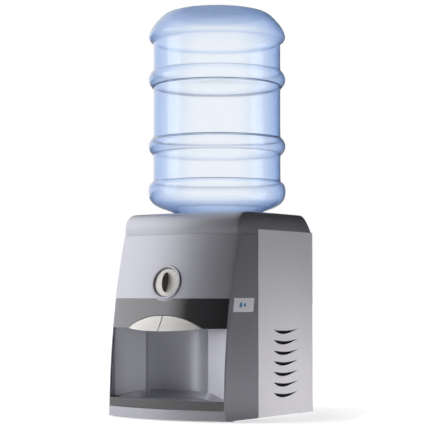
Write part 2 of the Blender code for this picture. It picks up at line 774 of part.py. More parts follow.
def make_tank():
    centre = (0, bottle_y, 0)
    outer, wall = tank_radius, tank_wall
    tank = [(0, tank_bottom + wall), (outer - wall, tank_bottom + wall), (outer - wall, tank_top),
            (outer, tank_top),
            (outer, tank_bottom), (0, tank_bottom)]
    turned("cold_tank", tank, zinc, centre, 24, False)
    bore = neck_radius + sleeve_clearance + 0.0025 + gap
    cover = [(outer, tank_top + 0.003 + gap), (outer, tank_top + gap), (bore, tank_top + gap),
             (bore, tank_top + 0.003 + gap)]
    turned("tank_cover", cover, food_plastic, centre, 24)
    deck = tank_bottom + 0.068
    baffle = [(outer - wall - 0.004, deck + 0.002), (outer - wall - 0.004, deck), (0.012, deck),
              (0.012, tank_bottom + wall + gap), (0.009, tank_bottom + wall + gap), (0.009, deck + 0.002)]
    turned("tank_baffle", baffle, food_plastic, centre, 16)
    per_turn = 12
    radius = (outer + coil_tube + gap) / cos(pi / per_turn)
    low, high = tank_bottom + 0.03, tank_bottom + 0.10
    steps = coil_turns * per_turn
    coil = [(radius * cos(2 * pi * i / per_turn),
             bottle_y + radius * sin(2 * pi * i / per_turn),
             low + (high - low) * i / steps) for i in range(steps + 1)]
    tube("evaporator_coil", coil, coil_tube - 0.0003, copper)
    inside = outer + 2 * coil_tube + 0.0045
    outside = inside + insulation_wall
    bottom = tank_bottom - gap - 0.012
    jacket = [(outside, tank_top + 0.002), (outside, bottom), (0.014, bottom), (0.014, tank_bottom - gap),
              (inside, tank_bottom - gap), (inside, tank_top + 0.002)]
    turned("tank_insulation", jacket, foam, centre, 24)
    shelf_top = bottom - gap
    half = half_width - sheet - 0.001
    rear = bottle_y + outside
    front = max(bottle_y - 0.060, panel_front + 0.001)
    shelf = box("tank_shelf", (-half, front, shelf_top - 0.0015), (half, rear, shelf_top))
    for side in (-1, 1):
        low_x, high_x = sorted((side * half, side * (half - 0.0015)))
        flange_piece = box(f"shelf_flange_{side}", (low_x, front, shelf_top - 0.018),
                           (high_x, rear, shelf_top - 0.0005))
        combine(shelf, flange_piece, "UNION")
    return outside


def make_cooler():
    floor = foot_height + gap + 0.0015 + gap
    x, y = compressor_x, compressor_y
    plate = floor + 0.007 + gap
    box("compressor_base_plate", (x - 0.075, y - 0.045, plate), (x + 0.075, y + 0.045, plate + 0.002))
    for number, (dx, dy) in enumerate(((-1, -1), (1, -1), (-1, 1), (1, 1)), 1):
        profile = [(0, 0.007), (0.008, 0.007), (0.009, 0.0035), (0.008, 0), (0, 0)]
        turned(f"grommet_{number}", profile, rubber, (x + dx * 0.062, y + dy * 0.034, floor), 12, False)
    low = plate + 0.002 + gap
    height = compressor_top - low
    r = compressor_radius
    dome = [(0, low + height)]
    dome += [(r * sin(a), low + height - 0.034 + 0.034 * cos(a)) for a in span(0, pi / 2, 5)[1:]]
    dome += [(r, low + 0.016), (r * 0.8, low + 0.003), (r * 0.7, low), (0, low)]
    turned("compressor_shell", dome, black, (x, y, 0), 20, False)
    box("terminal_cover", (x - r - 0.022, y - 0.018, 0.060), (x - r - gap, y + 0.018, 0.100), dark)
    plane = back_face - sheet - pipe_radius - 0.002
    reach, rows = half_width - 0.030, 6
    points = []
    for row in range(rows):
        z = 0.185 + row * 0.026
        side = 1 if row % 2 == 0 else -1
        points += [Vector((side * t * reach, plane, z)) for t in (0.97, 0, -0.97)]
        if row < rows - 1:
            bend = -side * (reach + 0.0095)
            points += [Vector((bend, plane, z + 0.006)), Vector((bend, plane, z + 0.020))]
    tube("condenser_coil", points, pipe_radius - 0.0005, black)
    drier_x, drier_y = -half_width + 0.030, 0.120
    profile = [(0, 0.140), (0.003, 0.140), (0.009, 0.130), (0.009, 0.080), (0.003, 0.070), (0, 0.070)]
    turned("filter_drier", profile, copper, (drier_x, drier_y, 0), 16, False)
    outlet = x + r + pipe_radius + 0.001
    start = Vector((outlet, y + 0.010, 0.090))
    discharge = [start, start + Vector((0.012, 0.012, 0.010)), (half_width - 0.022, plane - 0.020, 0.140),
                 (half_width - 0.0285, plane, 0.165), (half_width - 0.033, plane,
                                                       0.185 - 2 * pipe_radius - gap)]
    tube("discharge_tube", smooth_route(discharge), pipe_radius - 0.0005, copper)
    suction = [(outlet, y - 0.020, 0.080), (x + r + 0.018, y - 0.028, 0.090),
               (half_width - 0.024, y - 0.040, 0.120), (half_width - 0.025, y - 0.045, 0.160)]
    tube("suction_tube", smooth_route(suction), pipe_radius - 0.0005, copper)


def make_hoses(jacket_radius):
    rear = valve_front + valve_length + 0.001
    for label, side in (("hose_ambient", -1), ("hose_cold", 1)):
        x = side * tap_offset
        end_x = side * 0.020
        end_y = bottle_y - sqrt(jacket_radius**2 - end_x**2) - 0.0065
        lead = Vector((x, rear, tap_height))
        bend = smooth_route([(x, rear + 0.004, tap_height), (x, rear + 0.010, tap_height + 0.002),
                             (end_x, end_y - 0.004, tap_height + 0.020), (end_x, end_y,
                                                                          tap_height + 0.035)], 4)
        tube(label, [lead, *bend], 0.004, food_plastic)


def ring_bulge(middle, half_height, wall_radius, steps=4):
    return [(wall_radius + (bottle_radius - wall_radius) * sin(pi * t) ** 0.8,
             middle + half_height * (1 - 2 * t))
            for t in span(0, 1, steps)]


def make_bottle():
    wall_radius = bottle_radius - 0.0098
    profile = [(0, bottle_top), (0.045, bottle_top - 0.0005), (0.076, bottle_top - 0.003), (0.1046, 0.791),
               (0.1237, 0.772), (bottle_radius, 0.748), (wall_radius, 0.735)]
    for middle in (0.6615, 0.5285):
        profile += ring_bulge(middle, 0.0175, wall_radius)
    profile += [(wall_radius, 0.4565), (bottle_radius - 0.002, 0.449), (bottle_radius, 0.439),
                (0.1328, 0.4226),
                (0.125, 0.4146), (0.116, 0.407), (0.097, 0.401), (0.036, 0.3733), (neck_radius, 0.3695),
                (neck_radius, neck_end)]
    turned("water_bottle", profile, clear_blue, (0, bottle_y, 0), 28, False, wall=bottle_wall)


make_base()
make_side_panel("side_panel_left", -1)
make_side_panel("side_panel_right", 1)
make_back()
make_fascia()
make_knob()
make_bay()
make_taps()
make_lid()
jacket = make_tank()
make_cooler()
make_hoses(jacket)
make_bottle()
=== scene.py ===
import json
from math import atan2, cos, pi, radians, sin, sqrt

import bmesh
import bpy
from mathutils import Matrix, Vector


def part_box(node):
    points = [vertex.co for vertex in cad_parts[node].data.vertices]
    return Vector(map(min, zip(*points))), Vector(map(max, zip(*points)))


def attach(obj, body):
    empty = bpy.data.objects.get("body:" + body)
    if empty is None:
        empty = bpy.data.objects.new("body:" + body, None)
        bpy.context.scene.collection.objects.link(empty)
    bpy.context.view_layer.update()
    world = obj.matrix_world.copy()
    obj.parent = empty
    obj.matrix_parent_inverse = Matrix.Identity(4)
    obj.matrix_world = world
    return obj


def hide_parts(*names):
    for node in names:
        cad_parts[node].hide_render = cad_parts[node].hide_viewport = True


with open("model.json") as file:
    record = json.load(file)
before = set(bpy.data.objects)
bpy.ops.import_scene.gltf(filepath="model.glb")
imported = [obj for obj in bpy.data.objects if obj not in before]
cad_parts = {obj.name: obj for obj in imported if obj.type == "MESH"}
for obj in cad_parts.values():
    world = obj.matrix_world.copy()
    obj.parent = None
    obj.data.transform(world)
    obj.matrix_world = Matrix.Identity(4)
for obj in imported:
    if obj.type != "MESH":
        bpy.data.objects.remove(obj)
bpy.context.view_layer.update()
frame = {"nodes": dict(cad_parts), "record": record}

joints = {joint["name"]: joint for joint in frame["record"]["behaviour"]["joints"]}

# Places read from the frame
fasciaLow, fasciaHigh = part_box("front_fascia")
panelLow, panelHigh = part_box("side_panel_right")
lidLow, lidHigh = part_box("top_cover")
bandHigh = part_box("trim_band")[1]
trayLow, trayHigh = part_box("drip_tray")
bayLow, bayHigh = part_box("alcove_liner")
bottleLow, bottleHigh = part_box("water_bottle")

cabinet = {
    "halfWidth": panelHigh.x,
    "bulge": 0.025,
    "lean": 0.0485,
    "leanPower": 2.1,
    "wall": 0.0025,
    "seam": lidLow.z,
    "panelFront": panelLow.y,
    "panelRear": panelHigh.y,
    "bottleY": (bottleLow.y + bottleHigh.y) / 2,
    "gap": 0.0003,
}
cabinet["openingHalf"] = bandHigh.x + cabinet["gap"]
cabinet["cornerHalf"] = cabinet["openingHalf"] + 0.0035
cabinet["taper"] = cabinet["halfWidth"] - cabinet["cornerHalf"]
cabinet["footY"] = fasciaLow.y + cabinet["bulge"]
knobCentre = Vector(joints["thermostat_turn"]["pos_m"])
knobAxis = Vector(joints["thermostat_turn"]["axis"]).normalized()


def span(low, high, steps):
    return [low + (high - low) * i / steps for i in range(steps + 1)]


def cornerY(z):
    return cabinet["footY"] + cabinet["lean"] * (max(z, 0) / cabinet["seam"]) ** cabinet["leanPower"]


def frontY(x, z):
    return cornerY(z) - cabinet["bulge"] * (1 - (x / cabinet["cornerHalf"]) ** 2)


# Shader groups

def nodeGroup(name, inputs, outputs):
    tree = bpy.data.node_groups.new(name, "ShaderNodeTree")
    for label, value in inputs:
        socket = tree.interface.new_socket(label, in_out="INPUT", socket_type="NodeSocketFloat")
        socket.default_value = value
    for label, kind in outputs:
        tree.interface.new_socket(label, in_out="OUTPUT", socket_type=kind)
    return tree, tree.nodes.new("NodeGroupInput"), tree.nodes.new("NodeGroupOutput")


def mathNode(tree, operation, first, second=None, clamp=False):
    node = tree.nodes.new("ShaderNodeMath")
    node.operation = operation
    node.use_clamp = clamp
    for slot, value in ((0, first), (1, second)):
        if value is None:
            continue
        if isinstance(value, (int, float)):
            node.inputs[slot].default_value = value
        else:
            tree.links.new(value, node.inputs[slot])
    return node.outputs[0]


def makeGrain():
    tree, given, out = nodeGroup("fineGrain", [("Scale", 900.0), ("Amount", 0.5)],
                                 [("Height", "NodeSocketFloat"), ("Variation", "NodeSocketFloat")])
    place = tree.nodes.new("ShaderNodeTexCoord")
    fine = tree.nodes.new("ShaderNodeTexNoise")
    fine.inputs["Detail"].default_value = 3
    broad = tree.nodes.new("ShaderNodeTexNoise")
    broad.inputs["Scale"].default_value = 14
    broad.inputs["Detail"].default_value = 4
    tree.links.new(place.outputs["Object"], fine.inputs["Vector"])
    tree.links.new(place.outputs["Object"], broad.inputs["Vector"])
    tree.links.new(given.outputs["Scale"], fine.inputs["Scale"])
    height = mathNode(tree, "MULTIPLY", fine.outputs["Fac"], given.outputs["Amount"])
    blend = tree.nodes.new("ShaderNodeMix")
    blend.inputs["Factor"].default_value = 0.65
    tree.links.new(fine.outputs["Fac"], blend.inputs["A"])
    tree.links.new(broad.outputs["Fac"], blend.inputs["B"])
    tree.links.new(height, out.inputs["Height"])
    tree.links.new(blend.outputs["Result"], out.inputs["Variation"])
    return tree


def makeWear():
    tree, given, out = nodeGroup("edgeWear", [("Width", 0.5), ("Amount", 0.3)], [("Mask", "NodeSocketFloat")])
    shape = tree.nodes.new("ShaderNodeNewGeometry")
    place = tree.nodes.new("ShaderNodeTexCoord")
    patch = tree.nodes.new("ShaderNodeTexNoise")
    patch.inputs["Scale"].default_value = 60
    tree.links.new(place.outputs["Object"], patch.inputs["Vector"])
    ridge = mathNode(tree, "SUBTRACT", shape.outputs["Pointiness"], given.outputs["Width"])
    ridge = mathNode(tree, "MULTIPLY", ridge, 9.0, clamp=True)
    ridge = mathNode(tree, "MULTIPLY", ridge, patch.outputs["Fac"])
    tree.links.new(mathNode(tree, "MULTIPLY", ridge, given.outputs["Amount"], clamp=True), out.inputs["Mask"])
    return tree


def makeDust():
    tree, given, out = nodeGroup("settledDust", [("Amount", 0.15)], [("Mask", "NodeSocketFloat")])
    shape = tree.nodes.new("ShaderNodeNewGeometry")
    split = tree.nodes.new("ShaderNodeSeparateXYZ")
    place = tree.nodes.new("ShaderNodeTexCoord")
    patch = tree.nodes.new("ShaderNodeTexNoise")
    patch.inputs["Scale"].default_value = 35
    patch.inputs["Detail"].default_value = 5
    tree.links.new(shape.outputs["Normal"], split.inputs["Vector"])
    tree.links.new(place.outputs["Object"], patch.inputs["Vector"])
    upward = mathNode(tree, "MULTIPLY", split.outputs["Z"], patch.outputs["Fac"], clamp=True)
    tree.links.new(mathNode(tree, "MULTIPLY", upward, given.outputs["Amount"], clamp=True),
                   out.inputs["Mask"])
    return tree


grainGroup, wearGroup, dustGroup = makeGrain(), makeWear(), makeDust()


def groupNode(tree, group, **values):
    node = tree.nodes.new("ShaderNodeGroup")
    node.node_tree = group
    for label, value in values.items():
        node.inputs[label].default_value = value
    return node


def finish(name, colour, roughness, metallic=0.0, grain=900, bump=0.05, spread=0.08, wear=0.15, dust=0.06,
           deepen=0.85, **sockets):
    made = bpy.data.materials.new(name)
    made.use_nodes = True
    tree = made.node_tree
    shader = tree.nodes["Principled BSDF"]
    shader.inputs["Metallic"].default_value = metallic
    for label, value in sockets.items():
        shader.inputs[label.replace("_", " ")].default_value = value
    surface = groupNode(tree, grainGroup, Scale=grain, Amount=1.0)
    rub = groupNode(tree, wearGroup, Width=0.52, Amount=wear)
    film = groupNode(tree, dustGroup, Amount=dust)
    base = tree.nodes.new("ShaderNodeMix")
    base.data_type = "RGBA"
    base.inputs["A"].default_value = (*(c * deepen for c in colour), 1)
    base.inputs["B"].default_value = (*colour, 1)
    tree.links.new(surface.outputs["Variation"], base.inputs["Factor"])
    worn = tree.nodes.new("ShaderNodeMix")
    worn.data_type = "RGBA"
    worn.inputs["B"].default_value = (*(min(1, c * 1.3 + 0.03) for c in colour), 1)
    tree.links.new(rub.outputs["Mask"], worn.inputs["Factor"])
    tree.links.new(base.outputs["Result"], worn.inputs["A"])
    dusty = tree.nodes.new("ShaderNodeMix")
    dusty.data_type = "RGBA"
    dusty.inputs["B"].default_value = (0.6, 0.58, 0.55, 1)
    tree.links.new(film.outputs["Mask"], dusty.inputs["Factor"])
    tree.links.new(worn.outputs["Result"], dusty.inputs["A"])
    tree.links.new(dusty.outputs["Result"], shader.inputs["Base Color"])
    low = mathNode(tree, "MULTIPLY", surface.outputs["Variation"], spread)
    low = mathNode(tree, "ADD", low, roughness - spread / 2)
    tree.links.new(mathNode(tree, "ADD", low, film.outputs["Mask"], clamp=True), shader.inputs["Roughness"])
    relief = tree.nodes.new("ShaderNodeBump")
    relief.inputs["Strength"].default_value = bump
    relief.inputs["Distance"].default_value = 0.0002
    tree.links.new(surface.outputs["Height"], relief.inputs["Height"])
    tree.links.new(relief.outputs["Normal"], shader.inputs["Normal"])
    return made


satinSilver = finish("satinSilver", (0.47, 0.47, 0.515), 0.42, 0.80, grain=1400, bump=0.10, deepen=0.93)
pianoBlack = finish("pianoBlack", (0.012, 0.012, 0.014), 0.09, 0.0, bump=0.01, spread=0.04, wear=0.05,
                    dust=0.01, IOR=2.25)
ivoryPad = finish("ivoryPad", (0.70, 0.68, 0.64), 0.36, grain=700, bump=0.08, deepen=0.95)
darkGrip = finish("darkGrip", (0.075, 0.066, 0.063), 0.42, grain=600, bump=0.2)
baySilver = finish("baySilver", (0.52, 0.52, 0.575), 0.38, 0.65, grain=1000, bump=0.15, deepen=0.93)
steelPaint = finish("steelPaint", (0.80, 0.78, 0.815), 0.38, 0.0, grain=500, bump=0.25, deepen=0.95,
                    dust=0.03)
zincPlate = finish("zincPlate", (0.56, 0.56, 0.55), 0.34, 1.0, grain=300, bump=0.1, deepen=0.75, spread=0.2)
tubeCopper = finish("tubeCopper", (0.72, 0.36, 0.22), 0.30, 1.0, grain=250, bump=0.08, deepen=0.7, spread=0.2)
foamWhite = finish("foamWhite", (0.82, 0.81, 0.77), 0.85, grain=260, bump=0.8)
rubberBlack = finish("rubberBlack", (0.028, 0.028, 0.03), 0.75, grain=500, bump=0.4)
milkyPlastic = finish("milkyPlastic", (0.78, 0.78, 0.76), 0.42, grain=600, bump=0.1, deepen=0.94)
# Near-black finish for the sheets behind the louvre slots: painted shade for the dark inside of the cabinet
paintedShadeBlack = finish("paintedShadeBlack", (0.006, 0.006, 0.007), 0.8, grain=500, bump=0.4, dust=0)
enamelBlack = finish("enamelBlack", (0.02, 0.02, 0.022), 0.30, grain=180, bump=0.3, spread=0.15)


# Clear tinted plastic, deeper where the wall is seen edge on
def bottleBlue():
    made = bpy.data.materials.new("bottleBlue")
    made.use_nodes = True
    tree = made.node_tree
    shader = tree.nodes["Principled BSDF"]
    shader.inputs["Transmission Weight"].default_value = 1.0
    shader.inputs["IOR"].default_value = 1.30
    facing = tree.nodes.new("ShaderNodeLayerWeight")
    facing.inputs["Blend"].default_value = 0.42
    tint = tree.nodes.new("ShaderNodeValToRGB")
    tint.color_ramp.elements[0].position = 0.05
    tint.color_ramp.elements[0].color = (0.925, 0.955, 0.99, 1)
    tint.color_ramp.elements[1].position = 0.85
    tint.color_ramp.elements[1].color = (0.20, 0.40, 0.80, 1)
    tree.links.new(facing.outputs["Facing"], tint.inputs["Fac"])
    tree.links.new(tint.outputs["Color"], shader.inputs["Base Color"])
    surface = groupNode(tree, grainGroup, Scale=90.0, Amount=1.0)
    gloss = mathNode(tree, "MULTIPLY_ADD", surface.outputs["Variation"], 0.06)
    gloss.node.inputs[2].default_value = 0.09
    tree.links.new(gloss, shader.inputs["Roughness"])
    relief = tree.nodes.new("ShaderNodeBump")
    relief.inputs["Strength"].default_value = 0.06
    relief.inputs["Distance"].default_value = 0.0008
    tree.links.new(surface.outputs["Height"], relief.inputs["Height"])
    tree.links.new(relief.outputs["Normal"], shader.inputs["Normal"])
    return made


clearBlue = bottleBlue()
print("materials made")


# Mesh helpers

def link(name, mesh):
    piece = bpy.data.objects.new(name, mesh)
    bpy.context.scene.collection.objects.link(piece)
    return piece


def fromShape(name, shape):
    bmesh.ops.recalc_face_normals(shape, faces=shape.faces)
    mesh = bpy.data.meshes.new(name)
    shape.to_mesh(mesh)
    shape.free()
    return link(name, mesh)


# Bakes the modifiers and the place into the mesh
def settle(piece):
    bpy.context.view_layer.update()
    graph = bpy.context.evaluated_depsgraph_get()
    mesh = bpy.data.meshes.new_from_object(piece.evaluated_get(graph))
    mesh.transform(piece.matrix_world)
    piece.modifiers.clear()
    piece.data = mesh
    piece.matrix_world = Matrix.Identity(4)
    return piece


def soften(piece, width=0.0006, segments=2, angle=35):
    edge = piece.modifiers.new("edge", "BEVEL")
    edge.width = width
    edge.segments = segments
    edge.limit_method = "ANGLE"
    edge.angle_limit = radians(angle)
    edge.use_clamp_overlap = True
    return settle(piece)


def smooth(piece, angle=32):
    piece.data.shade_smooth()
    piece.data.set_sharp_from_angle(angle=radians(angle))
    even = piece.modifiers.new("even", "WEIGHTED_NORMAL")
    even.keep_sharp = True
    return settle(piece)


def combine(piece, others, operation="DIFFERENCE"):
    for other in others:
        change = piece.modifiers.new("cut", "BOOLEAN")
        change.operation = operation
        change.object = other
    settle(piece)
    for other in others:
        bpy.data.objects.remove(other)
    return piece


def block(low, high):
    shape = bmesh.new()
    place = Matrix.Translation((Vector(low) + Vector(high)) / 2) @ Matrix.Diagonal((*(Vector(high) - Vector(low)), 1))
    bmesh.ops.create_cube(shape, size=1, matrix=place)
    return fromShape("block", shape)


def rod(radius, start, end, sides=48):
    start, end = Vector(start), Vector(end)
    turn = (end - start).to_track_quat("Z", "Y").to_matrix().to_4x4()
    shape = bmesh.new()
    bmesh.ops.create_cone(shape, cap_ends=True, segments=sides, radius1=radius, radius2=radius,
                          depth=(end - start).length, matrix=Matrix.Translation((start + end) / 2) @ turn)
    return fromShape("rod", shape)


# Upright solid of an outline, with a level or a sloped floor
def prism(name, outline, low, high):
    shape = bmesh.new()
    floor = low if callable(low) else lambda y: low
    face = shape.faces.new([shape.verts.new((x, y, floor(y))) for x, y in outline])
    for item in bmesh.ops.extrude_face_region(shape, geom=[face])["geom"]:
        if isinstance(item, bmesh.types.BMVert):
            item.co.z = high
    return fromShape(name, shape)


# Solid of an outline drawn across axis x or y, from low to high on it
def slab(name, outline, axis, low, high):
    shape = bmesh.new()
    seat = (lambda a, z: (low, a, z)) if axis == "x" else (lambda a, z: (a, low, z))
    face = shape.faces.new([shape.verts.new(seat(a, z)) for a, z in outline])
    for item in bmesh.ops.extrude_face_region(shape, geom=[face])["geom"]:
        if isinstance(item, bmesh.types.BMVert):
            if axis == "x":
                item.co.x = high
            else:
                item.co.y = high
    return fromShape(name, shape)


# Turns a profile of (radius, height) round Z. A ring's profile closes on itself
def turned(name, profile, steps=96, place=None, ring=True):
    shape = bmesh.new()
    rows = [[shape.verts.new((r * cos(2 * pi * i / steps), r * sin(2 * pi * i / steps),
                              z)) for i in range(steps)]
            for r, z in profile]
    pairs = list(zip(rows, rows[1:])) + ([(rows[-1], rows[0])] if ring else [])
    for upper, lower in pairs:
        for i in range(steps):
            j = (i + 1) % steps
            shape.faces.new([upper[i], upper[j], lower[j], lower[i]])
    bmesh.ops.remove_doubles(shape, verts=shape.verts, dist=1e-6)
    piece = fromShape(name, shape)
    if place is not None:
        piece.data.transform(place)
    return piece


def gridPiece(name, point, columns, rows, thickness):
    shape = bmesh.new()
    bmesh.ops.create_grid(shape, x_segments=len(columns) - 1, y_segments=len(rows) - 1, size=0.5)
    for vert in shape.verts:
        column = columns[round((vert.co.x + 0.5) * (len(columns) - 1))]
        row = rows[round((vert.co.y + 0.5) * (len(rows) - 1))]
        vert.co = point(column, row)
    mesh = bpy.data.meshes.new(name)
    shape.to_mesh(mesh)
    shape.free()
    piece = link(name, mesh)
    solid = piece.modifiers.new("wall", "SOLIDIFY")
    solid.thickness = abs(thickness)
    solid.offset = -1 if thickness > 0 else 1
    return settle(piece)


def done(piece, material, body, slotName, *nodes, angle=32):
    piece.data.materials.clear()
    piece.data.materials.append(material)
    smooth(piece, angle)
    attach(piece, body)
    if nodes:
        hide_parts(*nodes)
    return piece


# A point of the front skin: column is x over the corner's half width, and past 1 it runs back along a cheek
def skinPoint(setback):
    def point(column, z):
        side = 1 if column > 0 else -1
        if abs(column) <= 1:
            x = column * cabinet["cornerHalf"]
            return (x, frontY(x, z) + setback, z)
        along = (abs(column) - 1) / 0.5
        x = cabinet["cornerHalf"] + cabinet["taper"] * along
        return (side * x, cornerY(z) + (cabinet["panelFront"] - cornerY(z)) * along + setback, z)
    return point


# Front moulding
fascia = {"lipTop": trayLow.z - 0.0003, "bandTop": bandHigh.z + 0.0003, "lobe": 0.0362,
          "cornerRound": (1.03, 1.012, 1.0, 0.993, 0.975)}


def makeFascia():
    corner = list(fascia["cornerRound"])

    def point(column, z):
        place = Vector(skinPoint(0)(column, z))
        side = 1 if column > 0 else -1
        spread = abs(column)
        if 0.99 < spread < 1.02:
            place.x -= side * 0.0004
            place.y += 0.0004
        return place

    right = [1.5, 1.35, 1.2, 1.12, *corner]
    columns = [-c for c in right] + span(-0.93, 0.93, 48) + right[::-1]
    levels = span(fasciaLow.z, fasciaHigh.z, 44)
    shell = gridPiece("frontMoulding", point, columns, levels, cabinet["wall"])
    away = knobAxis * 0.05
    half = cabinet["openingHalf"]
    window = block((-half, fasciaLow.y - 0.02, fascia["lipTop"]), (half, cornerY(fascia["bandTop"]) + 0.015,
                                                                   fascia["bandTop"]))
    combine(window, [rod(fascia["lobe"], knobCentre - away, knobCentre + away, 96)])
    combine(shell, [window, rod(0.0278 + 0.0030, knobCentre - away, knobCentre + away, 96)])
    soften(shell, 0.0007, 2, 40)
    return done(shell, satinSilver, "cabinet", "silver_plastic", "front_fascia", angle=30)


# Black band with the arch
band = {"bottom": 0.171, "rise": 0.0248, "half": 0.087, "wall": 0.003}


def archZ(x):
    return band["bottom"] + band["rise"] * (1 - min(1, abs(x) / band["half"]) ** 2.2)


def makeBand():
    away = knobAxis * 0.05
    half = cabinet["openingHalf"] - cabinet["gap"]
    share = half / cabinet["cornerHalf"]
    shell = gridPiece("archedBand", skinPoint(0), span(-share, share, 60),
                      span(band["bottom"], bandHigh.z, 16),
                      band["wall"])
    arch = [(-band["half"], band["bottom"] - 0.02)]
    arch += [(x, archZ(x)) for x in span(-band["half"], band["half"], 64)]
    arch += [(band["half"], band["bottom"] - 0.02)]
    combine(shell, [slab("arch", arch, "y", fasciaLow.y - 0.02, 0.0),
                    rod(fascia["lobe"] + cabinet["gap"], knobCentre - away, knobCentre + away, 96)])
    soften(shell, 0.0005, 2, 40)
    return done(shell, pianoBlack, "cabinet", "black_plastic", "trim_band", angle=30)


print("front moulding and band next")
makeFascia()
makeBand()

# Cup bay and tray
bay = {"wall": 0.0025, "returnWall": 0.0013, "crease": 0.073, "jambDepth": 0.0125, "creaseDepth": 0.0355,
       "depth": 0.0925, "ceiling": 0.176, "rampFoot": 0.0385, "rampCrease": 0.0545, "rampRear": 0.0486}
tray = {"half": 0.120, "depth": 0.068, "wall": 0.0012, "ledge": 0.0050, "floor": 0.002, "fit": 0.0004}


def bayOutline(grow=0.0):
    front = cabinet["footY"]
    jamb, crease, depth = (front + bay[key] for key in ("jambDepth", "creaseDepth", "depth"))
    side = cabinet["openingHalf"] - cabinet["gap"] - (0 if grow else bay["returnWall"])
    hollow = bay["crease"] + grow * 0.4
    rear = [(hollow * cos(t), crease + grow + (depth - crease) * abs(sin(t)) ** 1.5) for t in span(0, pi, 48)]
    start = front - 0.0005 if grow else front - 0.05
    return [(-side, start), (side, start), (side, jamb + grow * 0.6), *rear, (-side, jamb + grow * 0.6)]


def trayRear(x, reach, shift=0.0):
    return cabinet["footY"] + 0.0045 + tray["depth"] * (1 + cos(pi * x / reach)) / 2 + shift


def trayOutline(shrink=0.0):
    half = cabinet["openingHalf"] - tray["fit"] - 3 * shrink
    front = [(x, frontY(x, trayLow.z) + shrink) for x in span(-half, half, 48)]
    reach = tray["half"] - shrink
    return front + [(x, trayRear(x, reach, -shrink)) for x in span(reach, -reach, 48)]


def makeRamp():
    jamb, crease, depth = (cabinet["footY"] + bay[key] for key in ("jambDepth", "creaseDepth", "depth"))
    side = cabinet["openingHalf"] - cabinet["gap"] - bay["returnWall"]
    low, embed = trayHigh.z - 0.003, 0.001
    shape = bmesh.new()
    sections = []
    for share in span(1.004, -1.004, 96):
        innerX, outerX = share * tray["half"], share * side
        spread = abs(outerX)
        if spread > bay["crease"]:
            climb = (side - spread) / (side - bay["crease"])
            y, z = jamb + (crease - jamb) * climb, bay["rampFoot"] + (bay["rampCrease"] - bay["rampFoot"]) * climb
        else:
            turn = (spread / bay["crease"]) ** 2
            y = crease + (depth - crease) * (1 - turn) ** 0.75
            z = bay["rampRear"] + (bay["rampCrease"] - bay["rampRear"]) * turn
        edgeY = trayRear(innerX, tray["half"])
        corners = ((innerX, edgeY, trayHigh.z - 0.001), (outerX, y + embed, z), (outerX, y + embed, low),
                   (innerX, edgeY, low))
        sections.append([shape.verts.new(corner) for corner in corners])
    for one, two in zip(sections, sections[1:]):
        for i in range(4):
            shape.faces.new([one[i], one[i - 1], two[i - 1], two[i]])
    shape.faces.new(sections[0])
    shape.faces.new(sections[-1][::-1])
    bmesh.ops.recalc_face_normals(shape, faces=shape.faces)
    return fromShape("ramp", shape)


def makeLiner():
    wall = bay["wall"]
    liner = prism("cupBay", bayOutline(wall), bayLow.z, bayHigh.z)
    room = prism("room", bayOutline(), trayHigh.z - 0.001, bay["ceiling"])
    clear = tray["fit"]
    reach = tray["half"] + clear
    edge = cabinet["openingHalf"] + 0.02
    start = cabinet["footY"] + 0.0045 + clear
    seat = [(-edge, fasciaLow.y - 0.05), (edge, fasciaLow.y - 0.05), (edge, start)]
    seat += [(x, trayRear(x, reach, clear)) for x in span(reach, -reach, 48)] + [(-edge, start)]
    front = gridPiece("front", skinPoint(band["wall"] + cabinet["gap"]), span(-1, 1, 40), span(0, 0.2, 16),
                      -0.05)
    nozzle = Vector(((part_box("tap_valve_right")[0].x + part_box("tap_valve_right")[1].x) / 2, 0, 0.175))
    nozzleY = fasciaLow.y + 0.0525
    levers = block((-band["half"] - 0.004, fasciaLow.y - 0.05, band["bottom"] - 0.001),
                   (band["half"] + 0.004, nozzleY - 0.017, 0.2))
    holes = [rod(0.0084, (side * nozzle.x, nozzleY, 0.16),
                 (side * nozzle.x, nozzleY, 0.19)) for side in (-1, 1)]
    combine(liner, [room])
    combine(liner, [makeRamp()], "UNION")
    combine(liner, [prism("seat", seat, 0.01, trayHigh.z + 0.006), front, levers, *holes])
    soften(liner, 0.0004, 2, 50)
    return done(liner, baySilver, "cabinet", "bay_plastic", "alcove_liner", angle=28)


def makeTray():
    piece = prism("dripTray", trayOutline(), trayLow.z, trayHigh.z)
    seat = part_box("drip_grille")[0].z - cabinet["gap"]
    combine(piece, [prism("inside", trayOutline(tray["ledge"]), trayLow.z + tray["floor"], 0.05)])
    combine(piece, [prism("seat", trayOutline(tray["wall"]), seat, 0.05)])
    soften(piece, 0.0003, 2, 40)
    return done(piece, pianoBlack, "tray", "black_plastic", "drip_tray", angle=30)


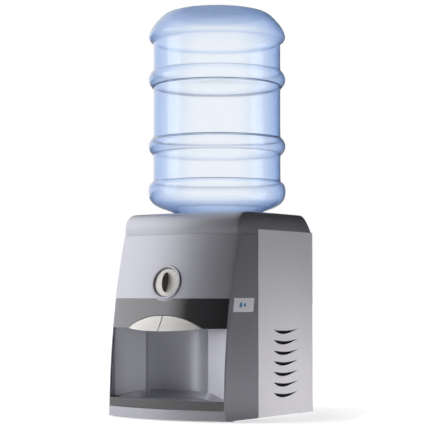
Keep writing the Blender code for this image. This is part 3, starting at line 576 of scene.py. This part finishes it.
# Slots along the grille: a line of points, a box on each, as long as the opening is deep there
def slatTree():
    tree = bpy.data.node_groups.new("slatRow", "GeometryNodeTree")
    for label, kind, value in (("Count", "NodeSocketInt", 25), ("Pitch", "NodeSocketFloat", 0.0085),
                               ("Width", "NodeSocketFloat", 0.003), ("Height", "NodeSocketFloat", 0.002),
                               ("Centre Depth", "NodeSocketFloat", 0.08),
                               ("Half Span", "NodeSocketFloat", 0.11),
                               ("Front Y", "NodeSocketFloat", 0.0), ("Top Z", "NodeSocketFloat", 0.0),
                               ("Bulge", "NodeSocketFloat", 0.02), ("Finish", "NodeSocketMaterial", None)):
        socket = tree.interface.new_socket(label, in_out="INPUT", socket_type=kind)
        if value is not None:
            socket.default_value = value
    tree.interface.new_socket("Geometry", in_out="OUTPUT", socket_type="NodeSocketGeometry")
    nodes, links = tree.nodes, tree.links
    given, out = nodes.new("NodeGroupInput"), nodes.new("NodeGroupOutput")
    line = nodes.new("GeometryNodeMeshLine")
    offset = nodes.new("ShaderNodeCombineXYZ")
    links.new(given.outputs["Count"], line.inputs["Count"])
    links.new(given.outputs["Pitch"], offset.inputs["X"])
    links.new(offset.outputs["Vector"], line.inputs["Offset"])
    index = nodes.new("GeometryNodeInputIndex")

    def calc(operation, a, b=None):
        return mathNode(tree, operation, a, b)

    half = calc("MULTIPLY", calc("SUBTRACT", given.outputs["Count"], 1), 0.5)
    x = calc("MULTIPLY", calc("SUBTRACT", index.outputs[0], half), given.outputs["Pitch"])
    share = calc("DIVIDE", x, given.outputs["Half Span"])
    bow = calc("SUBTRACT", 1, calc("MULTIPLY", share, share))
    front = calc("SUBTRACT", given.outputs["Front Y"], calc("MULTIPLY", given.outputs["Bulge"], bow))
    bell = calc("MULTIPLY", calc("ADD", calc("COSINE", calc("MULTIPLY", share, pi)), 1), 0.5)
    rear = calc("ADD", given.outputs["Front Y"], calc("MULTIPLY", given.outputs["Centre Depth"], bell))
    length = calc("SUBTRACT", rear, front)
    middle = calc("MULTIPLY", calc("ADD", rear, front), 0.5)
    place = nodes.new("ShaderNodeCombineXYZ")
    links.new(x, place.inputs["X"])
    links.new(middle, place.inputs["Y"])
    links.new(given.outputs["Top Z"], place.inputs["Z"])
    move = nodes.new("GeometryNodeSetPosition")
    links.new(line.outputs["Mesh"], move.inputs["Geometry"])
    links.new(place.outputs["Vector"], move.inputs["Position"])
    bar = nodes.new("GeometryNodeMeshCube")
    size = nodes.new("ShaderNodeCombineXYZ")
    links.new(given.outputs["Width"], size.inputs["X"])
    size.inputs["Y"].default_value = 1
    links.new(given.outputs["Height"], size.inputs["Z"])
    links.new(size.outputs["Vector"], bar.inputs["Size"])
    stretch = nodes.new("ShaderNodeCombineXYZ")
    stretch.inputs["X"].default_value = stretch.inputs["Z"].default_value = 1
    links.new(length, stretch.inputs["Y"])
    spread = nodes.new("GeometryNodeInstanceOnPoints")
    links.new(move.outputs["Geometry"], spread.inputs["Points"])
    links.new(bar.outputs["Mesh"], spread.inputs["Instance"])
    links.new(stretch.outputs["Vector"], spread.inputs["Scale"])
    real = nodes.new("GeometryNodeRealizeInstances")
    links.new(spread.outputs["Instances"], real.inputs["Geometry"])
    paint = nodes.new("GeometryNodeSetMaterial")
    links.new(real.outputs["Geometry"], paint.inputs["Geometry"])
    links.new(given.outputs["Finish"], paint.inputs["Material"])
    links.new(paint.outputs["Geometry"], out.inputs["Geometry"])
    return tree


# Runs a tree on an empty mesh and keeps the result as a plain mesh
def runTree(name, tree, **values):
    piece = link(name, bpy.data.meshes.new(name))
    change = piece.modifiers.new("tree", "NODES")
    change.node_group = tree
    idents = {item.name: item.identifier for item in tree.interface.items_tree if item.in_out == "INPUT"}
    for label, value in values.items():
        change[idents[label.replace("_", " ")]] = value
    return settle(piece)


grille = {"pitch": 0.0085, "count": 21, "slot": 0.0024, "inset": 0.0017}


def makeGrille():
    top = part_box("drip_grille")[1].z
    rim = prism("dripGrille", trayOutline(grille["inset"]), top - 0.002, top)
    slots = runTree("slots", slatTree(), Count=grille["count"], Pitch=grille["pitch"], Width=grille["slot"],
                    Height=0.01, Centre_Depth=tray["depth"] - 0.004, Half_Span=tray["half"] - 0.006,
                    Front_Y=cabinet["footY"] + 0.0035, Top_Z=top, Bulge=0.020, Finish=baySilver)
    combine(rim, [slots])
    soften(rim, 0.0003, 1, 50)
    return done(rim, baySilver, "grille", "bay_plastic", "drip_grille")


makeLiner()
makeTray()
makeGrille()
print("cup bay, tray and grille made")

# Press pads
pad = {"reach": 0.012, "droop": 0.0056, "thick": 0.0026, "gap": 0.0013}


def makePad(label, side):
    pivot = Vector(joints[f"lever_{label}_press"]["pos_m"])
    low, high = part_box(f"tap_lever_{label}")

    def point(column, row, layer):
        x = column * (band["half"] - 0.002 - pad["gap"]) + pad["gap"]
        top = archZ(x) - pad["gap"]
        bottom = band["bottom"] + 0.0005 - pad["droop"] * (1 - (abs(x) / band["half"]) ** 2)
        z = bottom + (top - bottom) * row
        out = pad["reach"] * (1 - row) ** 1.3 * (1 - (abs(x) / band["half"]) ** 4)
        out *= 1 - 0.10 * max(0, 1 - row * 8) ** 2      # tucks the lower edge under
        return side * x, frontY(x, z) - out if layer == 0 else frontY(x, z) + pad["thick"], z

    columns, rows = span(0, 0.985, 40), span(0, 1, 22)
    shape = bmesh.new()
    sheets = [[[shape.verts.new(point(c, r, layer)) for r in rows] for c in columns] for layer in (0, 1)]
    for faces in sheets:
        for i in range(len(columns) - 1):
            for j in range(len(rows) - 1):
                shape.faces.new([faces[i][j], faces[i + 1][j], faces[i + 1][j + 1], faces[i][j + 1]])
    front, rear = sheets
    last, top = len(columns) - 1, len(rows) - 1
    rim = [(i, 0) for i in range(last + 1)] + [(last, j) for j in range(1, top + 1)]
    rim += [(i, top) for i in range(last - 1, -1, -1)] + [(0, j) for j in range(top - 1, 0, -1)]
    for (a, b), (c, d) in zip(rim, rim[1:] + rim[:1]):
        shape.faces.new([front[a][b], front[c][d], rear[c][d], rear[a][b]])
    piece = fromShape(f"pressPad_{label}", shape)
    x = side * 0.028
    lowX, highX = sorted((x - 0.006, x + 0.006))
    rearFace = frontY(0.028, 0.175) + 0.0015
    arm = block((lowX, rearFace, band["bottom"] + 0.003), (highX, pivot.y + 0.002, pivot.z))
    combine(arm, [block((lowX - 0.001, low.y - 0.02, pivot.z - 0.024),
                        (highX + 0.001, pivot.y - 0.004, pivot.z + 0.02))])
    eye = rod(0.005, (lowX - 0.0007, pivot.y, pivot.z), (highX + 0.0007, pivot.y, pivot.z))
    combine(piece, [arm, eye], "UNION")
    combine(piece, [rod(0.0023, (lowX - 0.01, pivot.y, pivot.z), (highX + 0.01, pivot.y, pivot.z))])
    return done(piece, ivoryPad, f"lever_{label}", "ivory_plastic", f"tap_lever_{label}", angle=40)


makePad("left", -1)
makePad("right", 1)

# Control knob
knob = {"bore": 0.0278, "outer": 0.0335, "dial": 0.0273, "grip": (0.0082, 0.0385, 0.0148)}
knobPlace = Matrix.Translation(knobCentre) @ knobAxis.to_track_quat("Z", "Y").to_matrix().to_4x4()


def arcPoints(centre, radius, start, end, steps):
    return [(centre[0] + radius * cos(radians(t)),
             centre[1] + radius * sin(radians(t))) for t in span(start, end, steps)]


def makeKnob():
    bore, outer, wall = knob["bore"], knob["outer"], 0.0026
    crown = arcPoints((outer - 0.0016, 0.0002), 0.0016, 0, 90, 6) + arcPoints((bore + 0.0016, 0.0002),
            0.0016, 90, 180, 6)
    profile = [(outer, -0.001), *crown, (bore, -0.009), (0.0045, -0.009), (0.0045, -0.011),
               (bore + wall, -0.011),
               (bore + wall, -0.001)]
    ringPiece = turned("knobBezel", profile, 128, knobPlace)
    done(ringPiece, satinSilver, "cabinet", "silver_plastic", "knob_bezel", angle=35)
    r = knob["dial"]
    face = [(1e-7, -0.0012), (r * 0.55, -0.0013), (r - 0.0035, -0.0020),
            *arcPoints((r - 0.0014, -0.0036), 0.0014, 90, 0, 5),
            (r, -0.0075), (1e-7, -0.0075)]
    dial = turned("dial", face, 128, knobPlace, ring=False)
    done(dial, ivoryPad, "knob", "ivory_plastic", "thermostat_knob", angle=35)
    width, length, height = knob["grip"]
    shape = bmesh.new()
    bmesh.ops.create_uvsphere(shape, u_segments=48, v_segments=32, radius=1)
    for vert in shape.verts:
        along = vert.co.y
        vert.co = Vector((vert.co.x * width / 2 * (1 - 0.25 * along * along), along * length / 2,
                          max(vert.co.z, 0) ** 0.8 * height - 0.0027))
    bmesh.ops.remove_doubles(shape, verts=shape.verts, dist=1e-6)
    grip = fromShape("grip", shape)
    grip.data.transform(knobPlace)
    done(grip, darkGrip, "knob", "dark_plastic", "knob_grip", angle=50)


makeKnob()
print("pads and knob made")

# Lid
lid = {"sideInset": 0.011, "rearInset": 0.026, "frontEdge": 0.095, "well": 0.088, "wall": 0.0025,
       "wellFoot": 0.3725}


# Rise and inset shares at t from the seam, 0, to the flat top, 1: up the side, then round the shoulder
def lidShares(t):
    rise = min(1, 0.06 + 0.94 * sin(pi / 2 * t) ** 0.9) if t > 0 else 0
    frontShare = t ** 2.6
    sideShare = t ** 2.4
    rearShare = rise
    return rise, frontShare, sideShare, rearShare


def lidRing(t):
    rise, frontShare, sideShare, rearShare = lidShares(t)
    half = cabinet["halfWidth"]
    sideIn, rearIn = lid["sideInset"] * sideShare, lid["rearInset"] * rearShare
    seamY = cornerY(cabinet["seam"])
    step = (cabinet["bottleY"] - lid["frontEdge"] - seamY + cabinet["bulge"] * 0.25) * frontShare
    bulge = cabinet["bulge"] * (1 - 0.75 * frontShare)

    def height(low):
        return low + (lidHigh.z - low) * rise

    def edgeX(y):
        along = max(0, (cabinet["panelFront"] - y) / (cabinet["panelFront"] - seamY))
        return half - sideIn - cabinet["taper"] * along

    front = seamY + step
    cornerX = edgeX(front)
    rear = cabinet["panelRear"] - rearIn
    low, high = cabinet["seam"], panelHigh.z + cabinet["gap"]
    stepY = cabinet["panelFront"] - 3 * cabinet["gap"]
    points = [(x * cornerX, front - bulge * (1 - x * x), height(low)) for x in span(-0.965, 0.965, 48)]
    right = [(cornerX * 0.988, front + 0.0006), (cornerX - 0.0006, front + 0.003),
             (edgeX(front + 0.007), front + 0.007)]
    right = [(x, y, height(low)) for x, y in right]
    right += [(edgeX(y), y, height(low)) for y in span(front + 0.016, stepY - 0.0008, 7)]
    right.append((edgeX(stepY), stepY, height(high)))
    right += [(edgeX(y), y, height(high)) for y in span(stepY + 0.012, rear - 0.010, 18)]
    right += [(half - sideIn - 0.0008, rear - 0.005, height(high)),
              (half - sideIn - 0.0035, rear - 0.0014, height(high))]
    points += right
    points += [(x * (half - sideIn), rear, height(high)) for x in span(0.95, -0.95, 36)]
    points += [(-x, y, z) for x, y, z in right[::-1]]
    return points


def makeLid():
    loops = [lidRing(t) for t in (0, 0.04, *span(0.10, 1.0, 20))]
    outer = loops[-1]
    well = lid["well"]
    for radius, z in ((well + 0.0045, lidHigh.z), (well + 0.003, lidHigh.z - 0.0003),
                      (well + 0.001, lidHigh.z - 0.0015),
                      (well, lidHigh.z - 0.0035), (well, lid["wellFoot"])):
        ring = []
        for x, y, _ in outer:
            angle = atan2(y - cabinet["bottleY"], x)
            ring.append((radius * cos(angle), cabinet["bottleY"] + radius * sin(angle), z))
        loops.append(ring)
    shape = bmesh.new()
    rings = [[shape.verts.new(place) for place in loop] for loop in loops]
    for low, high in zip(rings, rings[1:]):
        for i in range(len(outer)):
            j = (i + 1) % len(outer)
            shape.faces.new([low[i], low[j], high[j], high[i]])
    mesh = bpy.data.meshes.new("lid")
    shape.normal_update()
    shape.to_mesh(mesh)
    shape.free()
    piece = link("lid", mesh)
    solid = piece.modifiers.new("wall", "SOLIDIFY")
    solid.thickness = lid["wall"]
    solid.offset = -1
    settle(piece)
    return done(piece, satinSilver, "cabinet", "silver_plastic", "top_cover", angle=40)


makeLid()
print("lid made")

# Steel sides
louvre = {"count": 7, "pitch": 0.0203, "first": 0.0465, "length": 0.0895, "start": 0.055, "sheet": 0.0012,
          "flange": 0.012}


def crescent(tip, start):
    upper = [(start + louvre["length"] * t, tip - 0.0039 * sin(pi * t)) for t in span(0, 1, 28)]
    lower = [(start + louvre["length"] * t, tip - 0.0100 * sin(pi * t ** 0.75)) for t in span(0, 1, 28)[1:-1]]
    return upper + lower[::-1]


def makeSide(label, side):
    outer = panelHigh.x * side
    inner = outer - louvre["sheet"] * side
    folded = outer - louvre["flange"] * side
    front, rear = cabinet["panelFront"], cabinet["panelRear"]
    outline = [(outer, front), (outer, rear), (folded, rear), (folded, rear - louvre["sheet"]),
               (inner, rear - louvre["sheet"]), (inner, front)]
    panel = prism(f"steelSide_{label}", outline, panelLow.z, panelHigh.z)
    start = front + louvre["start"]
    reach = 0.004 * side
    cuts = [slab("cut", crescent(louvre["first"] + louvre["pitch"] * n, start), "x", inner - reach,
                 outer + reach)
            for n in range(louvre["count"])]
    joined = cuts[0]
    if len(cuts) > 1:
        other = cuts[1:]
        mesh = bmesh.new()
        for cut in [joined, *other]:
            mesh.from_mesh(cut.data)
        mesh.to_mesh(joined.data)
        mesh.free()
        for cut in other:
            bpy.data.objects.remove(cut)
    screwX = (panelHigh.x - louvre["flange"] / 2 - louvre["sheet"] / 2) * side
    holes = [rod(0.0021, (screwX, rear - 0.01, z), (screwX, rear + 0.01, z), 24) for z in (0.040,
            panelHigh.z + 0.0003 - 0.030)]
    combine(panel, [joined, *holes])
    soften(panel, 0.0004, 2, 40)
    return done(panel, steelPaint, "cabinet", "painted_steel", f"side_panel_{label}")


# A near-black sheet just inside each side panel, behind the louvre slots: painted shade standing in for the shaded
# inside seen through the slots
def makeLouvreShade(label, side):
    start = cabinet["panelFront"] + louvre["start"]
    lowX, highX = sorted((side * (panelHigh.x - 0.0051), side * (panelHigh.x - 0.0043)))
    shadeSheet = block((lowX, start - 0.008, louvre["first"] - 0.018),
                   (highX, start + louvre["length"] + 0.022, louvre["first"] + louvre["pitch"] * 6 + 0.004))
    shadeSheet.name = f"louvreShade_{label}"
    return done(shadeSheet, paintedShadeBlack, "cabinet", "painted_steel")


makeSide("left", -1)
makeSide("right", 1)
makeLouvreShade("left", -1)
makeLouvreShade("right", 1)
print("sides made")

# Bottle
bottle = {"wall": 0.0016, "neck": 0.0285, "rings": (0.6615, 0.5285)}


def bottleProfile():
    radius = bottleHigh.x
    wallRadius = radius - 0.0098
    top = bottleHigh.z
    points = [(0.0, top), (0.03, top - 0.0003), (0.06, top - 0.0014), (0.083, top - 0.0045), (0.1046, 0.791),
              (0.1237, 0.772), (0.1325, 0.7585), (radius, 0.7475), (0.1335, 0.7405),
              (wallRadius + 0.001, 0.7355),
              (wallRadius, 0.728)]
    for middle in bottle["rings"]:
        points.append((wallRadius, middle + 0.021))
        points += [(wallRadius + 0.0098 * sin(pi * t) ** 0.75,
                    middle + 0.0175 * (1 - 2 * t)) for t in span(0.06, 0.94, 9)]
        points.append((wallRadius, middle - 0.021))
    points += [(wallRadius, 0.4625), (wallRadius + 0.001, 0.4575), (0.1335, 0.4515), (radius, 0.4405),
               (0.1352, 0.431),
               (0.1328, 0.4226), (0.125, 0.4135), (0.112, 0.4062), (0.097, 0.401), (0.070, 0.3892),
               (0.036, 0.3735),
               (0.0300, 0.3702), (bottle["neck"], 0.3670), (bottle["neck"], bottleLow.z)]
    return points


# Catmull-Rom line through the points
def rounded(points, steps=4):
    ends = [points[0], *points, points[-1]]
    line = []
    for leg in range(len(points) - 1):
        a, b, c, d = (Vector(p) for p in ends[leg:leg + 4])
        for k in range(steps):
            t = k / steps
            line.append(0.5 * (2 * b + (c - a) * t + (2 * a - 5 * b + 4 * c - d) * t * t
                               + (3 * b - a - 3 * c + d) * t ** 3))
    line.append(Vector(points[-1]))
    return [(max(p[0], 0), p[1]) for p in line]


def makeBottle():
    piece = turned("waterBottle", rounded(bottleProfile()), 144,
                   Matrix.Translation((0, cabinet["bottleY"], 0)), ring=False)
    outward = sum((face.center - Vector((0, cabinet["bottleY"],
                                         0.57))).dot(face.normal) for face in piece.data.polygons)
    if outward < 0:
        piece.data.flip_normals()
    solid = piece.modifiers.new("wall", "SOLIDIFY")
    solid.thickness = bottle["wall"]
    solid.offset = -1
    settle(piece)
    return done(piece, clearBlue, "bottle", "bottle_plastic", "water_bottle", angle=60)


makeBottle()
print("bottle made")

# Finishes of the CAD pieces that stay
carried = {
    "painted_steel": steelPaint, "zinc_steel": zincPlate, "stainless": zincPlate, "copper": tubeCopper,
    "foam": foamWhite, "rubber": rubberBlack, "natural_plastic": milkyPlastic, "dark_plastic": darkGrip,
    "ivory_plastic": ivoryPad, "black_plastic": enamelBlack, "silver_plastic": satinSilver,
    "bay_plastic": baySilver,
}
slotOf = {row["node"]: row["material_slot"] for row in frame["record"]["subparts"]}
for name, piece in frame["nodes"].items():
    paint = carried.get(slotOf.get(name))
    if paint:
        piece.data.materials.clear()
        piece.data.materials.append(paint)

# Sticker on the right cheek: a plain label with a large and a small water drop
label = {"start": 0.008, "length": 0.062, "low": 0.202, "high": 0.228}


# A point on the right cheek, back metres behind the corner
def cheekPoint(back, z):
    depth = cabinet["panelFront"] - cornerY(z)
    share = back / depth
    return Vector((cabinet["cornerHalf"] + cabinet["taper"] * share, cornerY(z) + back, z))


def patch(name, columns, rows, lift, material, slotName="ivory_plastic"):
    shape = bmesh.new()
    bmesh.ops.create_grid(shape, x_segments=8, y_segments=4, size=0.5)
    for vert in shape.verts:
        back = columns[0] + (columns[1] - columns[0]) * (vert.co.x + 0.5)
        z = rows[0] + (rows[1] - rows[0]) * (vert.co.y + 0.5)
        vert.co = cheekPoint(back, z) + Vector((lift, 0, 0))
    mesh = bpy.data.meshes.new(name)
    shape.to_mesh(mesh)
    shape.free()
    piece = link(name, mesh)
    solid = piece.modifiers.new("wall", "SOLIDIFY")
    solid.thickness = 0.00015
    solid.offset = 0
    settle(piece)
    piece.data.materials.append(material)
    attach(piece, "cabinet")
    return piece


labelWhite = finish("labelWhite", (0.80, 0.80, 0.84), 0.35, bump=0.02, wear=0)
labelDrop = finish("labelDrop", (0.10, 0.35, 0.62), 0.35, bump=0.02, wear=0)


def makeLabel():
    start, middle = label["start"], (label["low"] + label["high"]) / 2
    patch("cheekLabel", (start, start + label["length"]), (label["low"], label["high"]), 0.0004, labelWhite)
    for number, (back, half, tall) in enumerate(((0.022, 0.0045, 0.0055), (0.034, 0.0035, 0.0042))):
        drop = patch(f"labelDrop_{number}", (start + back - half, start + back + half),
                     (middle - tall, middle + tall), 0.0007, labelDrop)
        for vert in drop.data.vertices:
            share = (vert.co.z - middle) / tall
            centre = cheekPoint(start + back, vert.co.z)
            vert.co.y = centre.y + (vert.co.y - centre.y) * sqrt(max(0,
                    1 - share * share)) * (1 - 0.35 * share)


makeLabel()

# Floor, light and camera
studio = {"floor": 40.0, "glow": 0.50, "glowReach": 0.9, "seenGlow": 0.45, "keyPower": 27,
          "keySize": (1.0, 1.6),
          "sidePower": 0.5, "fillPower": 3}


def makeFloor():
    shape = bmesh.new()
    bmesh.ops.create_grid(shape, x_segments=1, y_segments=1, size=studio["floor"])
    floor = fromShape("floor", shape)
    paper = bpy.data.materials.new("paleFloor")
    paper.use_nodes = True
    shader = paper.node_tree.nodes["Principled BSDF"]
    shader.inputs["Base Color"].default_value = (0.90, 0.90, 0.90, 1)
    shader.inputs["Roughness"].default_value = 0.8
    shader.inputs["Specular IOR Level"].default_value = 0.1
    shader.inputs["Emission Color"].default_value = (1, 1, 1, 1)
    tree = paper.node_tree
    place = tree.nodes.new("ShaderNodeTexCoord")
    away = tree.nodes.new("ShaderNodeVectorMath")
    away.operation = "LENGTH"
    tree.links.new(place.outputs["Object"], away.inputs[0])
    fade = mathNode(tree, "MULTIPLY_ADD", away.outputs["Value"], -1 / studio["glowReach"], clamp=True)
    fade.node.inputs[2].default_value = 1.0
    near = mathNode(tree, "MULTIPLY", fade, studio["glow"])
    clear = mathNode(tree, "MULTIPLY_ADD", fade, studio["seenGlow"] - 1.0)
    clear.node.inputs[2].default_value = 1.0
    path = tree.nodes.new("ShaderNodeLightPath")
    dim = mathNode(tree, "MULTIPLY_ADD", path.outputs["Is Glossy Ray"], -0.8)
    dim.node.inputs[2].default_value = 1.0
    seen = mathNode(tree, "MULTIPLY", path.outputs["Is Camera Ray"], clear)
    cast = mathNode(tree, "MULTIPLY", near, dim)
    cast = mathNode(tree, "MULTIPLY", cast, mathNode(tree, "SUBTRACT", 1.0, path.outputs["Is Camera Ray"]))
    tree.links.new(mathNode(tree, "ADD", cast, seen), shader.inputs["Emission Strength"])
    floor.data.materials.append(paper)


def areaLight(name, place, target, size, power, colour=(1, 1, 1), glossy=True):
    lamp = bpy.data.lights.new(name, "AREA")
    lamp.shape = "RECTANGLE"
    lamp.size, lamp.size_y = size
    lamp.energy = power
    lamp.color = colour
    holder = bpy.data.objects.new(name, lamp)
    holder.location = place
    holder.visible_camera = False
    holder.visible_glossy = glossy
    holder.rotation_euler = (Vector(target) - Vector(place)).to_track_quat("-Z", "Y").to_euler()
    bpy.context.scene.collection.objects.link(holder)


def makeWorld():
    world = bpy.data.worlds.new("studio")
    bpy.context.scene.world = world
    world.use_nodes = True
    tree = world.node_tree
    back = tree.nodes["Background"]
    place = tree.nodes.new("ShaderNodeTexCoord")
    split = tree.nodes.new("ShaderNodeVectorMath")
    split.operation = "DOT_PRODUCT"
    split.inputs[1].default_value = Vector((-1, -0.15, 0.10)).normalized()
    tree.links.new(place.outputs["Generated"], split.inputs[0])
    ramp = tree.nodes.new("ShaderNodeValToRGB")
    for element, (position, value) in zip(ramp.color_ramp.elements, ((0.30, 0.03), (0.99, 1.7))):
        element.position = position
        element.color = (value, value, value * 1.03, 1)
    for position, value in ((0.55, 0.05), (0.745, 0.13), (0.845, 1.45)):
        element = ramp.color_ramp.elements.new(position)
        element.color = (value, value, value * 1.03, 1)
    shift = mathNode(tree, "MULTIPLY_ADD", split.outputs["Value"], 0.5)
    shift.node.inputs[2].default_value = 0.5
    tree.links.new(shift, ramp.inputs["Fac"])
    path = tree.nodes.new("ShaderNodeLightPath")
    seen = mathNode(tree, "MAXIMUM", path.outputs["Is Camera Ray"], path.outputs["Is Transmission Ray"])
    pick = tree.nodes.new("ShaderNodeMix")
    pick.data_type = "RGBA"
    pick.inputs["B"].default_value = (1, 1, 1, 1)
    tree.links.new(seen, pick.inputs["Factor"])
    tree.links.new(ramp.outputs["Color"], pick.inputs["A"])
    tree.links.new(pick.outputs["Result"], back.inputs["Color"])


def makeCamera():
    azimuth, pitch, away, height, across = radians(34.2), radians(3.2), 2.950, 0.2295, -0.006
    place = Vector((away * sin(azimuth) + across * cos(azimuth),
                    -away * cos(azimuth) + across * sin(azimuth), height))
    place.y += cabinet["bottleY"]
    forward = Vector((-sin(azimuth) * cos(pitch), cos(azimuth) * cos(pitch), sin(pitch)))
    lens = bpy.data.cameras.new("camera")
    lens.lens = 125.07
    lens.sensor_width = 36
    camera = bpy.data.objects.new("camera", lens)
    camera.location = place
    camera.rotation_euler = forward.to_track_quat("-Z", "Y").to_euler()
    bpy.context.scene.collection.objects.link(camera)
    bpy.context.scene.camera = camera


bpy.context.scene.view_settings.view_transform = "Standard"
makeFloor()
makeWorld()
areaLight("keyLeft", (-1.5, -1.2, 0.75), (0, 0, 0.35), studio["keySize"], studio["keyPower"], glossy=False)
areaLight("lowRight", (0.42, 0.10, 0.02), (0.14, 0.06, 0.03), (0.40, 0.05), studio["sidePower"], glossy=False)
areaLight("above", (0, 0, 2.2), (0, 0, 0), (1.6, 1.6), studio["fillPower"])
makeCamera()
print("studio set")
